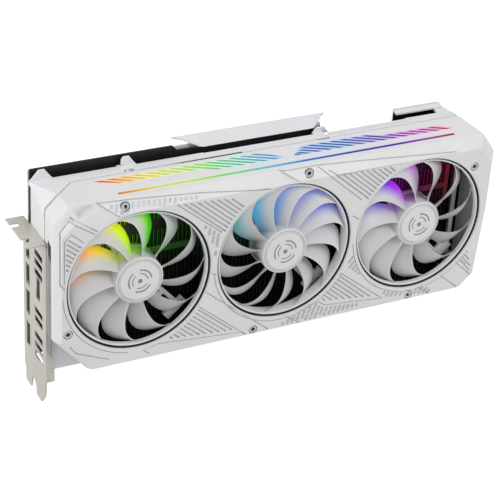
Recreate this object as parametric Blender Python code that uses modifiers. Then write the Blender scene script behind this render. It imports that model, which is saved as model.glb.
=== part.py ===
"""Three-fan desktop graphics card with an open I/O bracket, built as separate parts.

Row frame: +X runs from the I/O bracket to the tail, the fans face -Y, +Z is up and the
edge connector points down. The circuit board's middle plane is y = 0, and the origin is
the centre of the bottom face of the edge connector's long finger block.
Every length below is in millimetres and is scaled to metres when a mesh is made.
"""

import math

import bmesh
import bpy
from mathutils import Matrix

MM = 0.001

# ---------------------------------------------------------------- driving dimensions
FAN_X = (-37.6, 64.6, 166.7)
FAN_Z = 80.3
FAN_NAMES = ("left", "center", "right")
BLADES = (11, 13, 11)
BLADE_HAND = (1, -1, 1)
BLADE_START = (105.8, 97.4, 89.7)
ROTOR_RING_BACK = (-46.6, -42.2, -46.6)
FAN_OPENING_R = 49.0
ROTOR_RING_R = (46.3, 47.6)
HUB_R = 16.4
HUB_FRONT_Y = -50.7
HUB_WALL = 1.3
SHAFT_R = 1.75
BEARING_R = (1.85, 3.8)

FRONT_Y = -52.0
BEVEL_Y = -46.5
TOP_Z = 138.0
WALL = 2.2
SEAM = ((-69.9, -15.6), (-82.8, -28.4), (-91.3, -28.2), (-93.0, -32.5), (-120.0, -33.4))
SEAM_HALF_GAP = 0.45

PCB_T = 1.57
PCB_LEFT = -90.9
PCB_RIGHT = 178.0
PCB_BOTTOM = 8.25
FINGER_LONG = (-35.83, 35.83)
FINGER_SHORT = (-49.4, -37.75)

BRACKET_X = (-94.3, -93.44)
BRACKET_TOP = 109.5
BRACKET_TAB = 11.43

BACK_Y = (3.3, 4.8)
SCREWS = ((-48.0, 133.5, -49.7), (79.0, 133.5, -49.7), (206.0, 117.0, FRONT_Y),
          (-85.4, 52.0, FRONT_Y), (44.5, 25.6, FRONT_Y), (164.5, 25.6, FRONT_Y))
PIPE_R = 2.9
PIPE_Y = -9.2
PIPE_Z = (55.0, 64.0, 73.0, 82.0, 91.0, 100.0)
POWER_X = (127.9, 146.7, 165.5)

# ---------------------------------------------------------------- scene and materials


def clear_scene():
    """Removes everything the start-up file brings."""
    for old in list(bpy.data.objects):
        bpy.data.objects.remove(old)
    for old in list(bpy.data.collections):
        bpy.data.collections.remove(old)


def new_collection(name):
    """Makes a collection under the scene."""
    made = bpy.data.collections.new(name)
    bpy.context.scene.collection.children.link(made)
    return made


def principled(name, color, metallic, roughness):
    """Makes one Principled material."""
    mat = bpy.data.materials.new(name)
    mat.use_nodes = True
    node = mat.node_tree.nodes["Principled BSDF"]
    node.inputs["Base Color"].default_value = (*color, 1.0)
    node.inputs["Metallic"].default_value = metallic
    node.inputs["Roughness"].default_value = roughness
    mat.diffuse_color = (*color, 1.0)
    return mat


clear_scene()
PARTS = new_collection("graphics_card")
CUTTERS = new_collection("cutters")
MAT = {
    "white_plastic": principled("white_plastic", (0.84, 0.84, 0.86), 0.0, 0.42),
    "white_metal": principled("white_metal", (0.82, 0.82, 0.84), 0.2, 0.38),
    "fan_white": principled("fan_white", (0.86, 0.86, 0.88), 0.0, 0.35),
    "steel": principled("steel", (0.72, 0.70, 0.67), 1.0, 0.35),
    "dark_steel": principled("dark_steel", (0.08, 0.08, 0.08), 0.9, 0.4),
    "board": principled("board", (0.012, 0.012, 0.013), 0.0, 0.5),
    "fin_black": principled("fin_black", (0.03, 0.03, 0.033), 0.7, 0.45),
    "copper": principled("copper", (0.72, 0.43, 0.3), 1.0, 0.3),
    "magnet": principled("magnet", (0.05, 0.05, 0.05), 0.2, 0.6),
    "black_plastic": principled("black_plastic", (0.03, 0.03, 0.03), 0.0, 0.5),
    "lens": principled("lens", (0.55, 0.6, 0.95), 0.0, 0.3),
    "package": principled("package", (0.05, 0.12, 0.08), 0.0, 0.5),
}

# ---------------------------------------------------------------- shape helpers


def put(name, data, mat, parent):
    """Links an object as a part, or as a hidden cutter when it has no material."""
    obj = bpy.data.objects.new(name, data)
    if mat is None:
        CUTTERS.objects.link(obj)
        obj.hide_render = True
        obj.display_type = "WIRE"
    else:
        PARTS.objects.link(obj)
        data.materials.append(MAT[mat])
    obj.parent = parent
    return obj


def finish_mesh(bm, name):
    """Turns a bmesh into a mesh with normals facing out and its round sides smooth."""
    bmesh.ops.recalc_face_normals(bm, faces=bm.faces)
    mesh = bpy.data.meshes.new(name)
    bm.to_mesh(mesh)
    bm.free()
    mesh.shade_smooth()
    mesh.set_sharp_from_angle(angle=math.radians(32))
    return mesh


def box(name, x, y, z, mat=None, parent=None):
    """A box between the given limits, with its origin at its centre."""
    bm = bmesh.new()
    bmesh.ops.create_cube(bm, size=MM)
    bmesh.ops.scale(bm, vec=(x[1] - x[0], y[1] - y[0], z[1] - z[0]), verts=bm.verts)
    obj = put(name, finish_mesh(bm, name), mat, parent)
    obj.location = [(a + b) / 2 * MM for a, b in (x, y, z)]
    return obj


def disc(name, x, z, r, y0, y1, n, mat=None, parent=None):
    """A cylinder along Y around (x, z)."""
    bm = bmesh.new()
    bmesh.ops.create_cone(bm, cap_ends=True, segments=n, radius1=r * MM, radius2=r * MM,
                          depth=(y1 - y0) * MM)
    obj = put(name, finish_mesh(bm, name), mat, parent)
    obj.location = (x * MM, (y0 + y1) / 2 * MM, z * MM)
    obj.rotation_euler = (-math.pi / 2, 0, 0)
    return obj


def prism(name, outline, axis, lo, hi, mat=None, parent=None):
    """Extrudes a flat outline along an axis: X takes (y, z), Y takes (x, z), Z takes (x, y)."""
    curve = bpy.data.curves.new(name, "CURVE")
    curve.dimensions = "2D"
    curve.fill_mode = "BOTH"
    curve.extrude = (hi - lo) / 2 * MM
    spline = curve.splines.new("POLY")
    spline.points.add(len(outline) - 1)
    for point, (u, v) in zip(spline.points, outline):
        point.co = (u * MM, v * MM, 0, 1)
    spline.use_cyclic_u = True
    source = bpy.data.objects.new(name, curve)
    raw = bpy.data.meshes.new_from_object(source)
    bpy.data.objects.remove(source)
    bpy.data.curves.remove(curve)
    bm = bmesh.new()
    bm.from_mesh(raw)
    bpy.data.meshes.remove(raw)
    bmesh.ops.remove_doubles(bm, verts=bm.verts, dist=1e-6)
    obj = put(name, finish_mesh(bm, name), mat, parent)
    middle = (lo + hi) / 2 * MM
    quarter = math.pi / 2
    obj.location = {"X": (middle, 0, 0), "Y": (0, middle, 0), "Z": (0, 0, middle)}[axis]
    obj.rotation_euler = {"X": (quarter, 0, quarter), "Y": (quarter, 0, 0), "Z": (0, 0, 0)}[axis]
    return obj


def turned(name, x, z, profile, n, mat=None, parent=None, closed=False):
    """Turns a (radius, y) profile around the Y axis through (x, z) with a Screw modifier."""
    loop = profile if closed else [(0, profile[0][1])] + list(profile) + [(0, profile[-1][1])]
    area = sum(a[0] * b[1] - b[0] * a[1] for a, b in zip(loop, loop[1:] + loop[:1]))
    if area > 0:
        loop = loop[::-1]
    edges = [(i, i + 1) for i in range(len(loop) - 1)]
    if closed:
        edges.append((len(loop) - 1, 0))
    mesh = bpy.data.meshes.new(name)
    mesh.from_pydata([(r * MM, 0, y * MM) for r, y in loop], edges, [])
    obj = put(name, mesh, mat, parent)
    obj.location = (x * MM, 0, z * MM)
    obj.rotation_euler = (-math.pi / 2, 0, 0)
    mod = obj.modifiers.new("turn", "SCREW")
    mod.axis = "Z"
    mod.steps = n
    mod.render_steps = n
    mod.use_merge_vertices = True
    mod.merge_threshold = 1e-5
    mod.use_smooth_shade = False
    return obj


def loft(name, rings, mat=None, parent=None):
    """Skins equal rings of points into one solid with flat ends."""
    bm = bmesh.new()
    loops = [[bm.verts.new([c * MM for c in point]) for point in ring] for ring in rings]
    for near, far in zip(loops, loops[1:]):
        for i in range(len(near)):
            j = (i + 1) % len(near)
            bm.faces.new((near[i], near[j], far[j], far[i]))
    bm.faces.new(loops[0][::-1])
    bm.faces.new(loops[-1])
    bent = [f for f in bm.faces if len(f.verts) == 4 and not flat(f)]
    bmesh.ops.triangulate(bm, faces=bent)
    return put(name, finish_mesh(bm, name), mat, parent)


def flat(face):
    """True when the fourth corner of a quad lies in the plane of the others."""
    a, b, c, d = [v.co for v in face.verts]
    normal = (b - a).cross(c - a)
    return normal.length > 0 and abs((d - a).dot(normal.normalized())) < 1e-7


def pipe(name, points, r, mat, parent=None):
    """A bent round pipe with closed ends."""
    curve = bpy.data.curves.new(name, "CURVE")
    curve.dimensions = "3D"
    curve.bevel_depth = r * MM
    curve.bevel_resolution = 2
    curve.use_fill_caps = True
    curve.resolution_u = 1
    curve.render_resolution_u = 0
    spline = curve.splines.new("POLY")
    spline.points.add(len(points) - 1)
    for point, place in zip(spline.points, points):
        point.co = (*[c * MM for c in place], 1)
    return put(name, curve, mat, parent)


def combine(target, tools, operation):
    """Adds one exact Boolean modifier for each tool object."""
    for tool in tools:
        mod = target.modifiers.new(tool.name, "BOOLEAN")
        mod.operation = operation
        mod.solver = "EXACT"
        mod.object = tool
    return target


def cut(target, tools):
    """Subtracts the tools from the target."""
    return combine(target, tools, "DIFFERENCE")


def join(target, tools):
    """Adds the tools to the target."""
    return combine(target, tools, "UNION")


# ---------------------------------------------------------------- shroud


def shell_rings(inset):
    """Outline rings of the cooler shroud from front to back, moved inwards by inset."""
    d = inset
    e = inset * 0.42
    front = [(-69 + e, 22.5 + d), (206 - e, 22.5 + d), (216.5 - d, 32 + e), (219.5 - d, 80),
             (219.5 - d, 118 - e), (210 - e, 130 - d), (-80 + e, 130 - d), (-89.5 + d, 120 - e),
             (-89.5 + d, 46 + e)]
    middle = [(-70.5 + e, 20.3 + d), (208 - e, 20.3 + d), (220.5 - d, 30.5 + e), (224.2 - d, 80),
              (224.2 - d, 124 - e), (213.5 - e, TOP_Z - d), (-83 + e, TOP_Z - d),
              (-93.2 + d, 127.5 - e), (-93.2 + d, 46 + e)]
    back = [(-71 + e, 18.5 + d), (208 - e, 18.5 + d), (220.5 - d, 30.5 + e), (222.5 - d, 80),
            (222.5 - d, 127 - e), (213.5 - e, TOP_Z - d), (-83 + e, TOP_Z - d),
            (-93.2 + d, 127.5 - e), (-93.2 + d, 46 + e)]
    rear = [(-71 + e, 18.5 + d), (206 - e, 18.5 + d), (219 - d, 32.5 + e), (221 - d, 80),
            (221 - d, 126 - e), (211 - e, TOP_Z - d), (-83 + e, TOP_Z - d),
            (-93.2 + d, 127.5 - e), (-93.2 + d, 46 + e)]
    return front, middle, back, rear


def shroud():
    """White cooler shroud: a bevelled shell, open behind, with fan, light and screw holes."""
    front, middle, back, rear = shell_rings(0.0)
    levels = (FRONT_Y, BEVEL_Y, -20.0, 2.6)
    rings = [[(x, y, z) for x, z in r] for y, r in zip(levels, (front, middle, back, rear))]
    body = loft("shroud", rings, "white_plastic")
    front, middle, back, rear = shell_rings(WALL)
    levels = (FRONT_Y + WALL, BEVEL_Y + 1.2, -20.0, 9.0)
    rings = [[(x, y, z) for x, z in r] for y, r in zip(levels, (front, middle, back, rear))]
    tools = [loft("cut_inside", rings)]
    tools.append(box("cut_bottom", (-120, 206), (-35.5, 9), (0, 60)))
    tools.append(box("cut_top_back", (-120, 212.4), (SEAM[0][1] - SEAM_HALF_GAP, 9), (120, 150)))
    tools.append(box("cut_left_back", (-120, -60), (-37.2, 9), (0, 110.8)))
    wedge = [(x, y - SEAM_HALF_GAP) for x, y in SEAM] + [(-120, 9), (SEAM[0][0], 9)]
    tools.append(prism("cut_seam", wedge, "Z", 108, 150))
    for name, x in zip(FAN_NAMES, FAN_X):
        tools.append(disc("cut_fan_" + name, x, FAN_Z, FAN_OPENING_R, -60, -47, 56))
    tools.append(prism("cut_bar_a", [(-60, -19.4), (58, -19.4), (72, -32.6), (-30, -32.6)], "Z", 130, 145))
    tools.append(prism("cut_bar_b", [(84, -20.4), (178, -20.4), (200, -32.6), (77, -32.6)], "Z", 130, 145))
    tools.append(box("cut_strip", (-48.6, 194.6), (-41.2, -38.8), (130, 145)))
    for i, (x, z, y) in enumerate(SCREWS):
        bore = [(3.2, y - 4), (3.2, y + 1.0), (1.9, y + 1.0), (1.9, y + 8)]
        tools.append(turned("cut_screw_%d" % i, x, z, bore, 12))
    return cut(body, tools)


# ---------------------------------------------------------------- mid frame


def mid_frame():
    """White metal frame between board and cooler: top strip, tabs, left skin, corner plate."""
    rings = []
    for y, side_z, top_x in ((-36.0, 127.5, -83.0), (-30.0, 127.5, -83.0), (-9.0, 136.4, -92.4),
                             (-4.4, 136.6, -92.6)):
        band = [(-93.2, 106.0), (-93.2, side_z), (top_x, TOP_Z), (111.8, TOP_Z), (111.8, 136.2),
                (top_x + 0.8, 136.2), (-91.6, side_z - 0.8), (-91.6, 106.0)]
        rings.append([(x, y, z) for x, z in band])
    body = loft("mid_frame", rings, "white_metal")
    front_y = SEAM[0][1] + SEAM_HALF_GAP
    over = [(x, y + SEAM_HALF_GAP) for x, y in SEAM] + [(-120, -60), (130, -60), (130, front_y)]
    tools = [prism("cut_frame_front", over, "Z", 100, 150)]
    tools.append(box("cut_frame_switch", (-33.4, -26.6), (-14.6, -11.6), (130, 145)))
    tools.append(box("cut_frame_rear", (-95, -91.2), (-8.4, -4.0), (100, 135.0)))
    cut(body, tools)
    low = TOP_Z - 0.35
    tabs = [(117.2, 136.5), (113.5, 141.2), (108.0, 141.2), (105.4, low), (-22.4, low),
            (-26.6, 143.4), (-31.4, 143.4), (-34.3, low), (-78.1, low), (-82.8, 144.0),
            (-86.6, 144.0), (-92.0, 137.9), (-92.0, 136.5)]
    adds = [prism("add_tabs", tabs, "Y", -5.7, -4.2)]
    adds.append(box("add_notch", (111.0, 176.5), (front_y + 0.1, -11.5), (136.4, 137.9)))
    adds.append(box("add_lip", (113.0, 176.0), (-12.7, -11.3), (136.4, 139.8)))
    tail = [(175.6, front_y), (212.0, front_y), (211.2, -0.6), (203.4, -0.6), (201.6, -7.3), (175.6, -7.3)]
    adds.append(prism("add_tail", tail, "Z", 136.1, 138.1))
    adds.append(box("add_left_strip", (-92.7, -89.3), (-34.7, -31.2), (17.0, 110.4)))
    foot = [(-92.6, 16.9), (-64.0, 16.9), (-64.0, 24.0), (-82.0, 44.0), (-92.6, 44.0)]
    adds.append(prism("add_corner", foot, "Y", -34.9, -33.2))
    return join(body, adds)


# ---------------------------------------------------------------- board and bracket


def circuit_board():
    """Black board with its edge connector blocks and the stepped top edge."""
    a, b = FINGER_LONG
    c, d = FINGER_SHORT
    bot = PCB_BOTTOM
    outline = [(PCB_LEFT, bot), (c, bot), (c, 0.8), (c + 0.8, 0), (d - 0.6, 0), (d, 0.8), (d, bot),
               (a, bot), (a, 0.6), (a + 0.4, 0), (b - 0.4, 0), (b, 0.6), (b, bot), (PCB_RIGHT, bot),
               (PCB_RIGHT, 124.5), (116, 124.5), (113.5, 139.2), (9.0, 139.2), (5.5, 142.8),
               (PCB_LEFT, 142.8)]
    return prism("pcb", outline, "Y", -PCB_T / 2, PCB_T / 2, "board")


def bracket():
    """Slotted steel I/O bracket with its bent screw tab and stiffening flange."""
    face = [(2.8, BRACKET_TOP), (2.8, 2.0), (0.4, -1.0), (0.0, -10.6), (-9.3, -10.6), (-11.8, -1.5),
            (-15.6, -1.0), (-18.6, -4.0), (-19.6, -10.6), (-28.3, -10.6), (-34.0, -3.5), (-35.6, 1.0),
            (-35.9, 6.0), (-35.9, BRACKET_TOP)]
    x0, x1 = BRACKET_X
    plate = prism("bracket", face, "X", x0, x1, "steel")
    ear = x0 - BRACKET_TAB
    outer = [(x1, -35.9), (x1, 3.6), (ear, 3.6), (ear, -4.0), (ear + 5.4, -4.0), (ear + 5.4, -8.4),
             (ear, -8.4), (ear, -24.6), (ear + 5.4, -24.6), (ear + 5.4, -29.0), (ear, -29.0),
             (ear, -35.9)]
    tab = prism("add_tab", outer, "Z", BRACKET_TOP - 0.86, BRACKET_TOP)
    flange = box("add_flange", (x0, -88.6), (-36.7, -35.85), (9.0, 107.0))
    join(plate, [tab, flange])
    tools = []
    for i, z in enumerate((95.5, 89.0, 81.8, 53.6, 47.2, 35.2, 28.0, 20.8)):
        vent = [(-30.8, z - 2.8), (-17.0, z - 1.9), (-17.0, z + 2.5), (-30.8, z + 1.6)]
        tools.append(prism("cut_vent_%d" % i, vent, "X", -97, -91))
    for i, (y, z, half_y, half_z) in enumerate(PORTS):
        tools.append(box("cut_port_%d" % i, (-97, -91), (y - half_y - 0.35, y + half_y + 0.35),
                         (z - half_z - 0.35, z + half_z + 0.35)))
    return cut(plate, tools)


PORTS = ((-4.9, 27.6, 2.9, 8.6), (-4.9, 51.6, 2.9, 8.6), (-4.9, 72.0, 2.9, 7.5),
         (-4.9, 92.6, 2.9, 8.6), (-23.2, 71.0, 2.9, 7.5))
PORT_NAMES = ("port_dp_1", "port_dp_2", "port_hdmi_1", "port_dp_3", "port_hdmi_2")


def ports():
    """Five video sockets: metal shells with an open mouth and a contact tongue."""
    for i, (name, (y, z, half_y, half_z)) in enumerate(zip(PORT_NAMES, PORTS)):
        back = -79.5 if i == 4 else -76.0
        slope = 1.5
        shell = [(y - half_y, z - half_z), (y + half_y, z - half_z + (slope if i == 2 else 0)),
                 (y + half_y, z + half_z - slope), (y - half_y, z + half_z)]
        body = prism(name, shell, "X", -94.0, back, "steel")
        mouth = [(y - half_y + 0.5, z - half_z + 0.5), (y + half_y - 0.5, z - half_z + 0.9 +
                                                      (slope if i == 2 else 0)),
                 (y + half_y - 0.5, z + half_z - slope - 0.4), (y - half_y + 0.5, z + half_z - 0.5)]
        cut(body, [prism("cut_mouth_%d" % i, mouth, "X", -97.0, back - 3.0)])
        tongue = box("add_tongue_%d" % i, (-92.5, back - 2.5), (y - 0.7, y + 0.7),
                     (z - half_z + 2.6, z + half_z - 3.0))
        join(body, [tongue])


def backplate():
    """White metal back plate with a tail window, a folded tail edge and a cut-out."""
    y0, y1 = BACK_Y
    outline = [(-90.6, 12.5), (196, 12.5), (208, 20), (219.5, 33), (221.4, 80), (221.4, 126.5),
               (209.2, 140.4), (173.2, 140.4), (172.6, 126.0), (171.0, 124.5), (118.5, 124.5),
               (115.5, 140.2), (-90.6, 140.2)]
    body = prism("backplate", outline, "Y", y0, y1, "white_metal")
    fold = [(4.7, 138.7), (4.7, 140.3), (-0.2, 138.5), (-0.2, 137.1)]
    ends = [[(173.3, y, z) for y, z in fold], [(209.1 + (4.8 - y) * 0.3, y, z) for y, z in fold]]
    edge = loft("add_back_edge", ends)
    rim = box("add_back_rim", (-90.6, 196), (2.0, 4.0), (12.5, 14.0))
    join(body, [edge, rim])
    tools = [prism("cut_window", [(150, 36), (206, 36), (206, 112), (192, 122), (150, 122)], "Y", -1, 9)]
    cross = [(26, 42), (62, 42), (96, 42), (96, 118), (26, 118)]
    tools.append(prism("cut_back_square", [cross[0], cross[2], cross[3], cross[4]], "Y", -1, 9))
    cut(body, tools)
    bars = []
    for i in range(5):
        x = 160.5 + 9.0 * i
        slat = [(x - 2.0, 35.0), (x + 2.0, 35.0), (x + 2.0, 123.0), (x - 2.0, 123.0)]
        bars.append(prism("add_slat_%d" % i, slat, "Y", y0 + 0.1, y1 - 0.1))
    return join(body, bars)


def retention_bracket():
    """Cross-shaped spring steel plate that clamps the cooler to the board."""
    cx, cz = 61.0, 80.0
    arm, half = 31.0, 5.0
    pts = []
    for quarter in range(4):
        a = quarter * math.pi / 2 + math.pi / 4
        ux, uz = math.cos(a), math.sin(a)
        px, pz = -uz, ux
        pts.append((cx + ux * arm - px * half, cz + uz * arm - pz * half))
        pts.append((cx + ux * arm + px * half, cz + uz * arm + pz * half))
        pts.append((cx + ux * half * 1.6 + px * half * 1.6, cz + uz * half * 1.6 + pz * half * 1.6))
    body = prism("retention_bracket", pts, "Y", 1.4, 2.7, "dark_steel")
    return cut(body, [disc("cut_retention", cx, cz, 5.0, -1, 6, 20)])


def logo_bar():
    """Blank name bar: a slanted white cap over the board's top edge."""
    section = [(-2.4, 139.4), (-1.3, 139.4), (3.4, 144.0), (5.6, 144.4), (5.6, 146.0), (4.6, 146.2)]
    rings = []
    for front_x, back_x in ((26.5, 7.0), (107.5, 119.0)):
        ring = []
        for y, z in section:
            t = (y + 2.4) / 8.0
            ring.append((front_x + (back_x - front_x) * t, y, z))
        rings.append(ring)
    return loft("logo_bar", rings, "white_metal")


def power_connectors():
    """Three eight-way power sockets standing on the board's top edge."""
    for i, x in enumerate(POWER_X):
        body = box("power_connector_%d" % (i + 1), (x - 9.1, x + 9.1), (-11.0, -1.0), (118.5, 131.6),
                   "black_plastic")
        tools = []
        for col in range(4):
            for row in range(2):
                px = x - 6.6 + 4.4 * col
                py = -8.2 + 4.4 * row
                tools.append(box("cut_pin_%d_%d_%d" % (i, col, row), (px - 1.7, px + 1.7),
                                 (py - 1.7, py + 1.7), (121.5, 134)))
        cut(body, tools)


def bios_switch():
    """Slide switch under the top strip: housing with a groove, and the moving nub."""
    body = box("bios_switch_housing", (-34.6, -25.4), (-15.2, -1.1), (129.6, 135.4), "black_plastic")
    cut(body, [box("cut_switch_groove", (-32.2, -27.4), (-14.3, -11.9), (132.4, 137.0))])
    box("bios_switch_slider", (-31.9, -29.9), (-14.0, -12.2), (132.8, 137.6), "white_plastic")


# ---------------------------------------------------------------- cooler


def comb(x0, x1, count, y_spine, y_tip):
    """Outline of parallel fins that stand on a spine."""
    pitch = (x1 - x0) / (count - 1)
    half = 0.5
    pts = [(x0 - half, y_spine + 1.4), (x0 - half, y_tip)]
    for i in range(count):
        x = x0 + pitch * i
        if i:
            pts.append((x - half, y_spine))
            pts.append((x - half, y_tip))
        pts.append((x + half, y_tip))
        if i < count - 1:
            pts.append((x + half, y_spine))
    pts.append((x1 + half, y_spine + 1.4))
    return pts


def fins():
    """Two finned blocks, fins standing towards the fans."""
    prism("fin_stack_left", comb(-77.0, 113.0, 39, -14.0, -31.4), "Z", 27.0, 129.0, "fin_black")
    prism("fin_stack_right", comb(118.0, 202.0, 18, -14.0, -31.4), "Z", 27.0, 129.0, "fin_black")
    box("fin_end_bar", (206.2, 209.2), (-31.0, -12.0), (30.0, 127.0), "white_metal")


def heat_pipes():
    """Six heat pipes that run between the cold plate and the fins."""
    for i, z in enumerate(PIPE_Z):
        far = FAN_Z + (z - 77.5) * 1.45
        inset = 4 * (i % 2)
        path = [(-62.0 + inset, far), (-8.0, far), (30.0, z), (94.0, z), (126.0, far),
                (194.0 - inset, far)]
        pipe("heat_pipe_%d" % (i + 1), [(px, PIPE_Y, pz) for px, pz in path], PIPE_R, "copper")


def core():
    """Cold plate over the graphics processor."""
    box("cold_plate", (29.0, 95.0), (-6.0, -3.4), (46.0, 112.0), "copper")
    body = box("gpu_package", (38.5, 83.5), (-2.0, -1.0), (57.5, 102.5), "package")
    join(body, [box("add_die", (47.0, 75.0), (-3.1, -1.5), (66.0, 94.0))])


# ---------------------------------------------------------------- fans


def fan_axis(name, x):
    """Empty on the fan's axis of rotation; the fan's pieces hang on it."""
    axis = bpy.data.objects.new("fan_%s_axis" % name, None)
    PARTS.objects.link(axis)
    axis.location = (x * MM, 0, FAN_Z * MM)
    return axis


def blade(name, hand, turn, parent):
    """One swept, pitched fan blade as a thin closed solid, turned to its place."""
    stations = 5
    r0, r1 = HUB_R - 0.6, ROTOR_RING_R[0] + 0.5
    rings = []
    for k in range(stations):
        t = (0.0, 0.4, 0.7, 0.88, 1.0)[k]
        r = r0 + (r1 - r0) * t
        sweep = 0.47 * (0.55 * t ** 1.3 + 0.45 * t ** 7)
        span = 0.40 - 0.03 * t
        half = 0.55 - 0.12 * t
        back_y = -39.5 - 1.2 * t
        front_y = -50.0 + 0.8 * t
        ring = []
        for u, side in ((0.0, -1), (0.5, -1), (1.0, -1), (1.0, 1), (0.5, 1), (0.0, 1)):
            a = hand * (sweep + span * (u - 0.5) + 0.05 * math.sin(math.pi * u))
            y = back_y + (front_y - back_y) * u + side * half
            ring.append((r * math.cos(a), y, r * math.sin(a)))
        rings.append(ring)
    obj = loft(name, rings, None, parent)
    obj.rotation_euler = (0, turn, 0)
    return obj


def rotor(name, index, axis):
    """Fan rotor: hub cup, swept blades and outer ring in one piece."""
    count, hand = BLADES[index], BLADE_HAND[index]
    back = -37.0
    bore_r = HUB_R - HUB_WALL
    cup = [(HUB_R - 1.6, HUB_FRONT_Y), (HUB_R, HUB_FRONT_Y + 1.6), (HUB_R, back), (bore_r, back),
           (bore_r, HUB_FRONT_Y + 1.5)]
    hub = turned("fan_%s_rotor" % name, 0, 0, cup, 28, "fan_white", axis)
    adds = []
    for i in range(count):
        turn = 2 * math.pi * i / count - math.radians(BLADE_START[index])
        adds.append(blade("add_blade_%s_%02d" % (name, i), hand, turn, axis))
    inner, outer = ROTOR_RING_R
    section = ring_section(inner, outer, -50.2, ROTOR_RING_BACK[index])
    adds.append(turned("add_ring_" + name, 0, 0, section, 40, None, axis, True))
    join(hub, adds)


def ring_section(inner, outer, y0, y1):
    """Closed (radius, y) section of a plain ring."""
    return [(inner, y0), (outer, y0), (outer, y1), (inner, y1)]


def fan(index):
    """One complete fan around its own Y axis."""
    name = FAN_NAMES[index]
    axis = fan_axis(name, FAN_X[index])
    rotor(name, index, axis)
    face = HUB_FRONT_Y
    turned("fan_%s_badge" % name, 0, 0, [(13.2, face - 0.9), (13.6, face - 0.5), (13.6, face - 0.2)],
           24, "fan_white", axis)
    inner = HUB_R - HUB_WALL - 0.3
    turned("fan_%s_magnet" % name, 0, 0, ring_section(inner - 1.5, inner, -48.0, -38.5), 20, "magnet",
           axis, True)
    disc("fan_%s_shaft" % name, 0, 0, SHAFT_R, -49.0, -37.4, 24, "steel", axis)
    turned("fan_%s_bearing" % name, 0, 0, ring_section(*BEARING_R, -48.2, -37.4), 24, "copper", axis,
           True)
    star = []
    for i in range(36):
        a = 2 * math.pi * i / 36
        r = 12.9 if (i % 6) in (0, 1, 5) else 7.0
        star.append((r * math.cos(a), r * math.sin(a)))
    stator = prism("fan_%s_stator" % name, star, "Y", -46.5, -39.0, "copper", axis)
    cut(stator, [disc("cut_stator_" + name, 0, 0, BEARING_R[1] + 0.3, -50, -35, 24, None, axis)])
    motor_base(name, axis)


def motor_base(name, axis):
    """Fan frame: round base plate on a bridge of two slotted arms with broad feet."""
    base = disc("fan_%s_base" % name, 0, 0, 17.5, -36.0, -33.2, 28, "white_plastic", axis)
    adds = []
    holes = [disc("cut_wire_" + name, 9.0, -9.0, 2.0, -40, -30, 10, None, axis)]
    for i, turn in enumerate((math.radians(48), math.radians(228))):
        adds.append(arm_bar("add_arm_%s_%d" % (name, i), (14.0, 47.0), (-35.8, -33.4), 4.6, turn, axis))
        adds.append(arm_bar("add_foot_%s_%d" % (name, i), (44.6, 50.6), (-36.6, -33.5), 8.5, turn, axis))
        for k, reach in enumerate(((20.5, 29.0), (33.0, 42.5))):
            holes.append(arm_bar("cut_arm_%s_%d_%d" % (name, i, k), reach, (-40.0, -30.0), 1.9, turn, axis))
    join(base, adds)
    cut(base, holes)


def arm_bar(name, reach, y, half, turn, axis):
    """A radial bar of the fan frame, turned about the fan's axis."""
    bar = box(name, reach, y, (-half, half), None, None)
    bar.data.transform(Matrix.Translation(bar.location))
    bar.location = (0, 0, 0)
    bar.rotation_euler = (0, turn, 0)
    bar.parent = axis
    return bar


# ---------------------------------------------------------------- lights and screws


def lights():
    """Light-bar lens, thin strip lens and the board under them."""
    lens = box("light_bar_lens", (-60.5, 201.5), (-33.2, -18.8), (133.9, 135.3), "lens")
    left = [(-58.2, -19.8), (57.9, -19.8), (71.0, -32.2), (-29.8, -32.2)]
    right = [(84.2, -20.8), (177.8, -20.8), (198.6, -32.2), (77.6, -32.2)]
    join(lens, [prism("add_lens_a", left, "Z", 134.6, 137.8), prism("add_lens_b", right, "Z", 134.6, 137.8)])
    box("light_strip_lens", (-48.2, 194.2), (-40.8, -39.2), (133.9, 137.8), "lens")
    box("led_board", (-62.0, 203.0), (-44.0, -18.0), (132.4, 133.5), "board")


def screws():
    """Six front screws with hexagonal drive recesses."""
    for i, (x, z, y) in enumerate(SCREWS):
        profile = [(2.5, y + 0.1), (2.9, y + 0.3), (2.9, y + 0.8), (1.5, y + 0.8), (1.5, y + 5.2)]
        head = turned("shroud_screw_%d" % (i + 1), x, z, profile, 12, "dark_steel")
        cut(head, [disc("cut_drive_%d" % i, x, z, 1.3, y - 3, y + 0.6, 6)])


# ---------------------------------------------------------------- assembly

shroud()
mid_frame()
circuit_board()
bracket()
ports()
backplate()
retention_bracket()
logo_bar()
power_connectors()
bios_switch()
fins()
heat_pipes()
core()
for fan_index in range(3):
    fan(fan_index)
lights()
screws()
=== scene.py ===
# The looks of a white three-fan graphics card: detailed pieces, procedural materials, light and camera.
# Lengths are in millimetres and are turned into metres when a mesh is made. +X runs from the bracket to the
# tail, the fans face -Y and +Z is up, away from the edge connector.

import math
import random

import bmesh
import bpy
from mathutils import Matrix, Vector
from mathutils.bvhtree import BVHTree


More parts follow.
